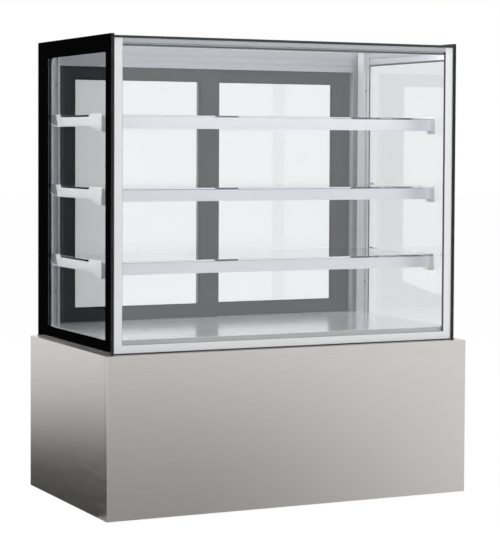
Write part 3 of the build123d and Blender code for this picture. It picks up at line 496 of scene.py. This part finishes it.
# Making pieces: sizes are in millimetres, in the row's frame

square = 0.9                          # a normal or an edge this far along an axis lies along it
smoothAngle = math.radians(35)


def deselectAll():
    if bpy.context.object and bpy.context.object.mode != "OBJECT":
        bpy.ops.object.mode_set(mode="OBJECT")
    bpy.ops.object.select_all(action="DESELECT")


def addBlock(x, y, z):
    # a cube between two places along each axis
    deselectAll()
    middle = [(low + high) / 2000 for low, high in (x, y, z)]
    bpy.ops.mesh.primitive_cube_add(size=1, location=middle)
    piece = bpy.context.active_object
    piece.scale = [(high - low) / 1000 for low, high in (x, y, z)]
    bpy.ops.object.transform_apply(location=True, rotation=True, scale=True)
    return piece


def pick(piece, test, kind="FACE"):
    # leaves the piece in edit mode with only the faces or edges selected whose middle and normal pass
    bpy.ops.object.mode_set(mode="EDIT")
    bpy.ops.mesh.select_mode(type=kind)
    bpy.ops.mesh.select_all(action="DESELECT")
    bpy.ops.object.mode_set(mode="OBJECT")
    points = piece.data.vertices
    if kind == "FACE":
        for face in piece.data.polygons:
            face.select = test(face.center * 1000, face.normal)
    else:
        for edge in piece.data.edges:
            start, end = (points[index].co for index in edge.vertices)
            edge.select = test((start + end) * 500, (end - start).normalized())
    bpy.ops.object.mode_set(mode="EDIT")


def cutAcross(places, normal):
    # bisects the whole mesh in edit mode by planes at these places along one axis
    for place in places:
        bpy.ops.mesh.select_all(action="SELECT")
        bpy.ops.mesh.bisect(plane_co=[value * place / 1000 for value in normal], plane_no=normal)


def frameRing(x, z, y, widths):
    # a flat frame in the XZ plane: bisected four times, its middle deleted, then extruded from y[0] to y[1]
    deselectAll()
    bpy.ops.mesh.primitive_plane_add(size=1, location=(sum(x) / 2000, y[0] / 1000, sum(z) / 2000),
                                     rotation=(math.radians(90), 0, 0))
    ring = bpy.context.active_object
    ring.scale = ((x[1] - x[0]) / 1000, (z[1] - z[0]) / 1000, 1)
    bpy.ops.object.transform_apply(location=True, rotation=True, scale=True)
    left, right, low, high = widths
    bpy.ops.object.mode_set(mode="EDIT")
    cutAcross((x[0] + left, x[1] - right), (1, 0, 0))
    cutAcross((z[0] + low, z[1] - high), (0, 0, 1))
    pick(ring, lambda middle, normal: x[0] + left < middle.x < x[1] - right and z[0] + low < middle.z < z[1] - high)
    bpy.ops.mesh.delete(type="FACE")
    bpy.ops.mesh.select_all(action="SELECT")
    bpy.ops.mesh.extrude_region_move(TRANSFORM_OT_translate={"value": (0, (y[1] - y[0]) / 1000, 0)})
    bpy.ops.mesh.select_all(action="SELECT")
    bpy.ops.mesh.normals_make_consistent(inside=False)
    bpy.ops.object.mode_set(mode="OBJECT")
    return ring


def roundEdges(piece, width, segments=2):
    bpy.ops.object.mode_set(mode="OBJECT")
    edges = piece.modifiers.new("edges", "BEVEL")
    edges.width = width / 1000
    edges.segments = segments
    edges.limit_method = "ANGLE"
    bpy.ops.object.modifier_apply(modifier="edges")


def settle(piece, name, finish, body="cabinet"):
    # the piece gets its name, its finish and the body that carries it
    bpy.ops.object.mode_set(mode="OBJECT")
    piece.name = name
    piece.data.name = name
    bpy.ops.object.shade_smooth_by_angle(angle=smoothAngle)
    piece.data.materials.clear()
    piece.data.materials.append(skins[finish])
    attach(piece, body)
    return piece


def copyPiece(piece, name, shift=(0, 0, 0), mirrorX=False, body="cabinet"):
    # a copy with a mesh of its own, moved and perhaps mirrored across the middle plane
    deselectAll()
    piece.select_set(True)
    bpy.context.view_layer.objects.active = piece
    bpy.ops.object.duplicate(linked=False)
    twin = bpy.context.active_object
    if mirrorX:
        twin.data.transform(Matrix.Scale(-1, 4, (1, 0, 0)))
        bpy.ops.object.mode_set(mode="EDIT")
        bpy.ops.mesh.select_all(action="SELECT")
        bpy.ops.mesh.normals_make_consistent(inside=False)
        bpy.ops.object.mode_set(mode="OBJECT")
    twin.data.transform(Matrix.Translation([value / 1000 for value in shift]))
    twin.name = name
    twin.data.name = name
    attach(twin, body)
    return twin


# Printed borders and seals of the glass, and a black strip of painted shadow under the light profile

frontPrint = {
    "across": (-565.9, 565.9),
    "up": (478.1, 1400.0),
    "depth": (-292.92, -292.6),
    "width": 26.0,
    "top": 1387.9,                    # the ring is cut off here, under the top glass
    "cutBar": 8.0,
    "innerAcross": (-553.6, 553.6),
    "innerUp": (478.2, 1387.8),
    "innerDepth": (-287.2, -287.02),
    "innerWidths": (16.6, 16.6, 25.8, 3.0),
    "bandAcross": (-539.9, 539.9),
    "bandUp": (1374.6, 1387.9),
    "bandEdge": 0.12,
}


def printFront():
    sizes = frontPrint
    wide = sizes["width"]
    ring = frameRing(sizes["across"], sizes["up"], sizes["depth"], (wide, wide, wide, sizes["cutBar"]))
    bpy.ops.object.mode_set(mode="EDIT")
    bpy.ops.mesh.select_all(action="SELECT")
    bpy.ops.mesh.bisect(plane_co=(0, 0, sizes["top"] / 1000), plane_no=(0, 0, 1), clear_outer=True, use_fill=True)
    border = settle(ring, "frontSilverPrint", "silver_enamel")
    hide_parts("front_glass_border")
    inner = frameRing(sizes["innerAcross"], sizes["innerUp"], sizes["innerDepth"], sizes["innerWidths"])
    settle(inner, "frontInnerPrint", "black_enamel")
    band = addBlock(sizes["bandAcross"], sizes["depth"], sizes["bandUp"])
    roundEdges(band, sizes["bandEdge"])
    settle(band, "frontTopBand", "trimAluminium")


seals = {
    "ledge": 478.0,
    "sideOut": 576.0,
    "front": -297.0,
    "back": 326.0,
    "gap": 0.05,
    "bead": 2.6,
    "beadRise": 3.2,
    "beadRound": 2.2,
    "roundedFrom": 1.0,               # edges farther out and up than this are rounded
    "reach": (0.5, 1.0),              # how far the side and the front beads run past their corner
    "edgeBand": ((-565.8, 565.8), (-297.6, -297.05), (1388.1, 1395.0)),
    "edgeRound": 0.2,
    # black strip under the light profile's lower edge: painted shadow, shaped as a gasket
    "lampGasket": ((-561.5, 561.5), (-282.9, -279.5), (1365.6, 1371.0)),
    "gasketRound": 0.8,
}


def roundBead(bead, test):
    pick(bead, test, "EDGE")
    bpy.ops.mesh.bevel(offset=seals["beadRound"] / 1000, segments=4)


def sealGlass():
    sizes = seals
    out, face, gap, bead = sizes["sideOut"], sizes["front"], sizes["gap"], sizes["bead"]
    sideReach, frontReach = sizes["reach"]
    far = sizes["roundedFrom"]
    rise = (sizes["ledge"] + gap, sizes["ledge"] + sizes["beadRise"])
    side = addBlock((out + gap, out + bead), (face - sideReach, sizes["back"]), rise)
    roundBead(side, lambda middle, way: abs(way.y) > square and middle.x > out + far and middle.z > rise[0] + far)
    right = settle(side, "rightGlassBead", "sealant")
    copyPiece(right, "leftGlassBead", mirrorX=True)
    strip = addBlock((-out - frontReach, out + frontReach), (face - bead, face - gap), rise)
    roundBead(strip, lambda middle, way: abs(way.x) > square and middle.y < face - far and middle.z > rise[0] + far)
    settle(strip, "frontGlassBead", "sealant")
    band = addBlock(*sizes["edgeBand"])
    roundEdges(band, sizes["edgeRound"])
    settle(band, "topEdgePaint", "edgePaint")
    # a black strip under the light profile: painted shadow of its lower edge, in the gasket finish
    gasket = addBlock(*sizes["lampGasket"])
    roundEdges(gasket, sizes["gasketRound"], 3)
    settle(gasket, "lampGasket", "gasket")


# Aluminium trims along the tops of the side walls

topTrim = {
    "across": (558.5, 561.7),
    "along": (-259.7, 282.8),
    "up": (1352.5, 1387.8),
    "lip": 2.6,
    "lipBack": 222.0,
    "lipTop": 1355.1,
    "groove": (1371.0, 1372.6),
    "grooveDeep": 1.2,
    "edge": 0.25,
}


def trimSides():
    sizes = topTrim
    low, high = sizes["groove"]
    bar = addBlock(sizes["across"], sizes["along"], sizes["up"])
    bpy.ops.object.mode_set(mode="EDIT")
    cutAcross((sizes["lipBack"],), (0, 1, 0))
    cutAcross((sizes["lipTop"], low, high), (0, 0, 1))
    pick(bar, lambda middle, normal: normal.x < -square and middle.y < sizes["lipBack"]
         and middle.z < sizes["lipTop"])
    bpy.ops.mesh.extrude_region_move(TRANSFORM_OT_translate={"value": (-sizes["lip"] / 1000, 0, 0)})
    pick(bar, lambda middle, normal: normal.x < -square and low < middle.z < high)
    bpy.ops.mesh.extrude_region_move(TRANSFORM_OT_translate={"value": (sizes["grooveDeep"] / 1000, 0, 0)})
    roundEdges(bar, sizes["edge"])
    right = settle(bar, "rightTopTrim", "trimAluminium")
    copyPiece(right, "leftTopTrim", mirrorX=True)


# Shelf arms: pressed plates with a hook round the upright

shelfArm = {
    "levels": (740.0, 955.0, 1170.0),
    "plate": (558.0, 561.0),
    "plateEdge": 0.5,
    "flange": (545.0, 558.2),
    # outline of the plate, along and up from the level of the shelf
    "outline": ((-197, 3), (-197, -50), (-158, -50), (-98, -34), (172, -34), (190, 3), (150, 3), (150, -6), (-95, -6),
                (-95, 3)),
    "seat": ((-158, 222.8), (-12, -6)),
    "seatEdge": 0.6,
    "cap": ((-196.9, -158), (-49.9, -6)),
    "capLow": -40,
    "capRound": 3.0,
    "hookMiddle": 175.0,
    "hookTop": 3,
    "hookReach": (87.0, 37.0),
    "hookSteps": 18,
    "hookWide": 2.6,
    "hookEdge": 0.4,
    # the web that fills the hook, given a grey finish as painted shade on the plate
    "web": (558.6, 559.6),
    "webOverlap": 0.4,
    "webCorners": ((188.5, 2.6), (172.5, -33.6)),
    "screwAlong": (-180.0, 136.0),
    "screwDown": (-12.0, -15.0),
    "screwHead": (2.8, 0.8),
    "screwGap": 0.02,
}


def addOutline(points, x):
    # a closed outline in the YZ plane, filled and extruded between two places along X
    deselectAll()
    bpy.ops.mesh.primitive_circle_add(vertices=len(points), radius=0.1, fill_type="NGON")
    plate = bpy.context.active_object
    for corner, (along, up) in zip(plate.data.vertices, points):
        corner.co = (x[0] / 1000, along / 1000, up / 1000)
    bpy.ops.object.mode_set(mode="EDIT")
    bpy.ops.mesh.select_all(action="SELECT")
    bpy.ops.mesh.extrude_region_move(TRANSFORM_OT_translate={"value": ((x[1] - x[0]) / 1000, 0, 0)})
    bpy.ops.mesh.select_all(action="SELECT")
    bpy.ops.mesh.normals_make_consistent(inside=False)
    bpy.ops.object.mode_set(mode="OBJECT")
    return plate


def hookOutline(inset, level):
    # the quarter oval of the hook, from its tip down to the plate's lower edge
    sizes = shelfArm
    reach, drop = (size - inset for size in sizes["hookReach"])
    top = level + sizes["hookTop"]
    steps = sizes["hookSteps"]
    turns = [math.radians(90 * step / steps) for step in range(steps + 1)]
    return [(sizes["hookMiddle"] + reach * math.cos(turn), top - drop * math.sin(turn)) for turn in turns]


def joinPieces(first, others):
    deselectAll()
    for piece in [first] + others:
        piece.select_set(True)
    bpy.context.view_layer.objects.active = first
    bpy.ops.object.join()
    return first


def makeArm(level):
    # the plate with its hook, the seat of the shelf and the deeper front cap
    sizes = shelfArm
    plate = addOutline([(along, level + up) for along, up in sizes["outline"]], sizes["plate"])
    roundEdges(plate, sizes["plateEdge"])
    hook = addOutline(hookOutline(0, level) + hookOutline(sizes["hookWide"], level)[::-1], sizes["plate"])
    roundEdges(hook, sizes["hookEdge"])
    seat = addBlock(sizes["flange"], sizes["seat"][0], [level + up for up in sizes["seat"][1]])
    roundEdges(seat, sizes["seatEdge"])
    cap = addBlock(sizes["flange"], sizes["cap"][0], [level + up for up in sizes["cap"][1]])
    pick(cap, lambda middle, way: abs(way.x) > square and middle.z < level + sizes["capLow"], "EDGE")
    bpy.ops.mesh.bevel(offset=sizes["capRound"] / 1000, segments=4)
    bpy.ops.object.mode_set(mode="OBJECT")
    return settle(joinPieces(plate, [hook, seat, cap]), "shelfArm1", "white_powder_coat")


def dressArms():
    sizes = shelfArm
    level = sizes["levels"][0]
    arm = makeArm(level)
    tip, foot = ((along, level + up) for along, up in sizes["webCorners"])
    curve = hookOutline(sizes["hookWide"] - sizes["webOverlap"], level)[:-1]
    # the web inside the hook: grey painted shade between the white hook rim and the arm's body
    web = settle(addOutline([tip] + curve + [foot], sizes["web"]), "armHook1", "bracketZinc")
    pattern = screwHead(*sizes["screwHead"])
    pattern.data.transform(Matrix.Rotation(math.radians(90), 4, "Y"))
    pattern = settle(pattern, "armScrew1", "zinc_screw")
    places = []
    for index, height in enumerate(sizes["levels"]):
        for mirror in (False, True):
            number = 2 * index + mirror + 1
            if number > 1:
                copyPiece(arm, "shelfArm%d" % number, (0, 0, height - level), mirror)
                copyPiece(web, "armHook%d" % number, (0, 0, height - level), mirror)
        places += [(sizes["plate"][1] + sizes["screwGap"], along, height + down)
                   for along, down in zip(sizes["screwAlong"], sizes["screwDown"])]
    for index, place in enumerate(places):
        right = copyPiece(pattern, "armScrew%d" % (2 * index + 2), place)
        copyPiece(right, "armScrew%d" % (2 * index + 3), mirrorX=True)
    bpy.data.objects.remove(pattern)
    for number in range(1, 7):
        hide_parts("shelf_arms")


panHead = {
    "corners": 20,
    "round": (0.6, 0.35),             # at most these shares of the height and of the radius
    "arm": (1.1, 0.26),               # the cross's arms, as shares of the radius
    "slot": (0.45, 1.5),              # from and to where the cross is cut, as shares of the height
}


def screwHead(radius, tall):
    # a pan head about the origin, facing +Z: a bevelled cylinder with a cross sunk into its top
    sizes = panHead
    deselectAll()
    bpy.ops.mesh.primitive_cylinder_add(vertices=sizes["corners"], radius=radius / 1000, depth=tall / 1000,
                                        location=(0, 0, tall / 2000))
    bpy.ops.object.transform_apply(location=True, rotation=True, scale=True)
    head = bpy.context.active_object
    pick(head, lambda middle, normal: normal.z > square)
    bpy.ops.mesh.bevel(offset=min(tall * sizes["round"][0], radius * sizes["round"][1]) / 1000, segments=3)
    bpy.ops.object.mode_set(mode="OBJECT")
    long, wide = (radius * share for share in sizes["arm"])
    for x, y in ((long, wide), (wide, long)):
        cutter = addBlock((-x / 2, x / 2), (-y / 2, y / 2), [tall * share for share in sizes["slot"]])
        deselectAll()
        head.select_set(True)
        bpy.context.view_layer.objects.active = head
        slot = head.modifiers.new("slot", "BOOLEAN")
        slot.object = cutter
        slot.operation = "DIFFERENCE"
        slot.solver = "EXACT"
        bpy.ops.object.modifier_apply(modifier="slot")
        bpy.data.objects.remove(cutter)
    return head


uprightBolt = {
    "head": (3.1, 1.6),
    "across": 546.5,
    "face": 228.0,
    "levels": (625.0, 1265.0),
}


def boltUprights():
    sizes = uprightBolt
    bolt = screwHead(*sizes["head"])
    bolt.data.transform(Matrix.Rotation(math.radians(90), 4, "X"))
    bolt = settle(bolt, "uprightScrew0", "darkScrew")
    for index, (x, z) in enumerate((x, z) for x in (-sizes["across"], sizes["across"]) for z in sizes["levels"]):
        copyPiece(bolt, "uprightScrew%d" % (index + 1), (x, sizes["face"], z))
    bpy.data.objects.remove(bolt)


# Light profile: an extruded channel with two grooves along its face

profileSizes = {
    "across": (-561.6, 561.6),
    "along": (-282.85, -260.0),
    "up": (1371.05, 1387.9),
    "channel": (-280.4, -262.6),
    "channelDeep": 4.6,
    "grooves": (1376.5, 1382.5),
    "grooveWide": 0.9,
    "grooveDeep": 0.7,
    "faceReach": 0.5,                 # faces this near the front and back are the outer ones
}


def makeProfile():
    sizes = profileSizes
    bar = addBlock(sizes["across"], sizes["along"], sizes["up"])
    bpy.ops.object.mode_set(mode="EDIT")
    cutAcross(sizes["channel"], (0, 1, 0))
    for level in sizes["grooves"]:
        cutAcross((level, level + sizes["grooveWide"]), (0, 0, 1))
    front, back = sizes["channel"]
    pick(bar, lambda middle, normal: normal.z < -square and front < middle.y < back)
    bpy.ops.mesh.extrude_region_move(TRANSFORM_OT_translate={"value": (0, 0, sizes["channelDeep"] / 1000)})
    nearest, farthest = sizes["along"][0] + sizes["faceReach"], sizes["along"][1] - sizes["faceReach"]
    for level in sizes["grooves"]:
        pick(bar, lambda middle, normal: abs(normal.y) > square and level < middle.z < level + sizes["grooveWide"]
             and (middle.y < nearest or middle.y > farthest))
        bpy.ops.mesh.extrude_region_shrink_fatten(TRANSFORM_OT_shrink_fatten={"value": -sizes["grooveDeep"] / 1000})
    profile = settle(bar, "lightProfile", "satin_aluminium")
    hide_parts("lamp_profile")


# Controls at the back: the display's lit figures

controls = {
    "figures": ("4", "2"),
    "figureSize": (5.4, 9.6),
    "figurePitch": 8.6,
    "bar": 1.1,
    "window": (417.5, 421.0),
    "face": 327.1,
    "thick": 0.3,
    "edge": 0.14,
}
strokes = {
    # which of the seven bars are lit, as the staff see them: top, upper left, upper right, middle, lower left,
    # lower right, bottom
    "4": (0, 1, 1, 1, 0, 1, 0),
    "2": (1, 0, 1, 1, 1, 0, 1),
}


def lightFigures():
    sizes = controls
    wide, tall = sizes["figureSize"]
    bar = sizes["bar"]
    level = ((0, tall / 2), (wide / 2, tall / 4), (-wide / 2, tall / 4), (0, 0), (wide / 2, -tall / 4),
             (-wide / 2, -tall / 4), (0, -tall / 2))
    lit = []
    for index, figure in enumerate(sizes["figures"]):
        middle = sizes["window"][0] + sizes["figurePitch"] * (0.5 - index)
        for shown, (across, up), upright in zip(strokes[figure], level, (0, 1, 1, 0, 1, 1, 0)):
            if shown:
                long, high = (bar, tall / 2 - bar) if upright else (wide - bar, bar)
                x, z = middle + across, sizes["window"][1] + up
                stroke = addBlock((x - long / 2, x + long / 2), (sizes["face"], sizes["face"] + sizes["thick"]),
                                  (z - high / 2, z + high / 2))
                roundEdges(stroke, sizes["edge"])
                lit.append(stroke)
    settle(joinPieces(lit[0], lit[1:]), "displayFigures", "digits")


# Gaskets, brush and pull rims of the sliding doors

doorTrim = {
    "left": (-529.2, 33.0),
    "right": (-33.0, 529.2),
    "up": (510.0, 1341.0),
    "stile": 66.0,
    "rail": 52.0,
    "overlap": 0.4,
    "gasket": 3.0,
    "gasketEdge": 0.5,
    "inFront": (286.75, 288.4),
    "behind": (300.6, 302.25),
    "rightShift": 20.0,
    "brush": ((14.0, 26.0), (302.6, 306.3), (516.0, 1335.0)),
    "brushBorder": 3.0,
    "brushSunk": 0.8,
    "pull": (26.0, 140.0),
    "pullInset": 26.4,
    "pullLevel": 930.0,
    "rim": 2.2,
    "rimInside": 0.6,
    "rimDepth": (302.4, 303.4),
    "rimRound": 4.0,
}


def trimDoors():
    sizes = doorTrim
    across, upward = sizes["stile"] - sizes["overlap"], sizes["rail"] - sizes["overlap"]
    rise = (sizes["up"][0] + upward, sizes["up"][1] - upward)
    for side, shift in (("left", 0.0), ("right", sizes["rightShift"])):
        opening = (sizes[side][0] + across, sizes[side][1] - across)
        for place, depth in (("Inner", sizes["inFront"]), ("Outer", sizes["behind"])):
            ring = frameRing(opening, rise, [value + shift for value in depth], (sizes["gasket"],) * 4)
            roundEdges(ring, sizes["gasketEdge"])
            settle(ring, "%sDoor%sGasket" % (side, place), "gasket", side + "_door")
    brush = addBlock(*sizes["brush"])
    pick(brush, lambda middle, normal: normal.y > square)
    bpy.ops.mesh.inset(thickness=sizes["brushBorder"] / 1000)
    bpy.ops.mesh.extrude_region_move(TRANSFORM_OT_translate={"value": (0, -sizes["brushSunk"] / 1000, 0)})
    settle(brush, "doorBrush", "brush", "left_door")


def pullCups():
    sizes = doorTrim
    across, upward = (size / 2 + sizes["rim"] for size in sizes["pull"])
    level = sizes["pullLevel"]
    for side, middle, shift in (("left", sizes["left"][0] + sizes["pullInset"], 0.0),
                                ("right", sizes["right"][1] - sizes["pullInset"], sizes["rightShift"])):
        ring = frameRing((middle - across, middle + across), (level - upward, level + upward),
                         [value + shift for value in sizes["rimDepth"]], (sizes["rim"] + sizes["rimInside"],) * 4)
        pick(ring, lambda centre, way: abs(way.y) > square, "EDGE")
        bpy.ops.mesh.bevel(offset=sizes["rimRound"] / 1000, segments=5)
        bpy.ops.object.mode_set(mode="OBJECT")
        settle(ring, side + "PullRim", "black_abs", side + "_door")


print("making trims")
printFront()
sealGlass()
makeProfile()
trimSides()
dressArms()
boltUprights()
trimDoors()
pullCups()
lightFigures()
print("trims done")
